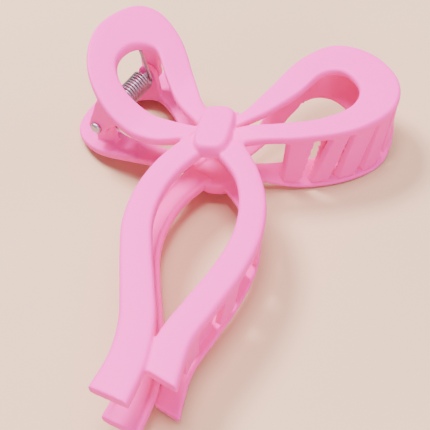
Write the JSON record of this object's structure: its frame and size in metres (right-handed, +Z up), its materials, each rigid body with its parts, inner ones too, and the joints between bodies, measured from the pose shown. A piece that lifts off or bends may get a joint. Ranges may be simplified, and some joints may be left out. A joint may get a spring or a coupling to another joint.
{
  "type": "claw hair clip",
  "caption": "Bow-shaped claw hair clip in matte pink plastic: two mirrored bow jaws with slanted teeth, joined by a steel hinge pin and torsion spring.",
  "frame": {"origin": "centre of the bounding box on the table the clip rests on", "axes": "+Z up from the table, +Y along the hinge pin from its head to its far end, +X from the handles to the jaws"},
  "size_m": [0.0937, 0.121, 0.032],
  "materials": {
    "pink_plastic": "matte soft-touch",
    "steel": "satin"
  },
  "bodies": {
    "rear_jaw": {"rear_handle_loop": "pink_plastic", "rear_side_loop": "pink_plastic", "rear_long_tail": "pink_plastic", "rear_short_tail": "pink_plastic", "rear_knot": "pink_plastic", "rear_side_teeth": "pink_plastic", "rear_tail_teeth": "pink_plastic", "rear_hinge_lugs": "pink_plastic", "hinge_pin": "steel", "spring_coil": "steel", "spring_rear_arm": "steel"},
    "front_jaw": {"front_handle_loop": "pink_plastic", "front_side_loop": "pink_plastic", "front_long_tail": "pink_plastic", "front_short_tail": "pink_plastic", "front_knot": "pink_plastic", "front_side_teeth": "pink_plastic", "front_tail_teeth": "pink_plastic", "front_hinge_lugs": "pink_plastic", "spring_front_arm": "steel"}
  },
  "joints": [
    {"name": "jaw_hinge", "type": "hinge", "parent": "rear_jaw", "child": "front_jaw", "pos_m": [-0.02754, 0.0148, 0.01334], "axis": [0.1045, -0.9945, -0.0026], "range_deg": [0, 50], "stiffness_Nm_per_rad": 0.15, "springref_deg": -34.38}
  ]
}
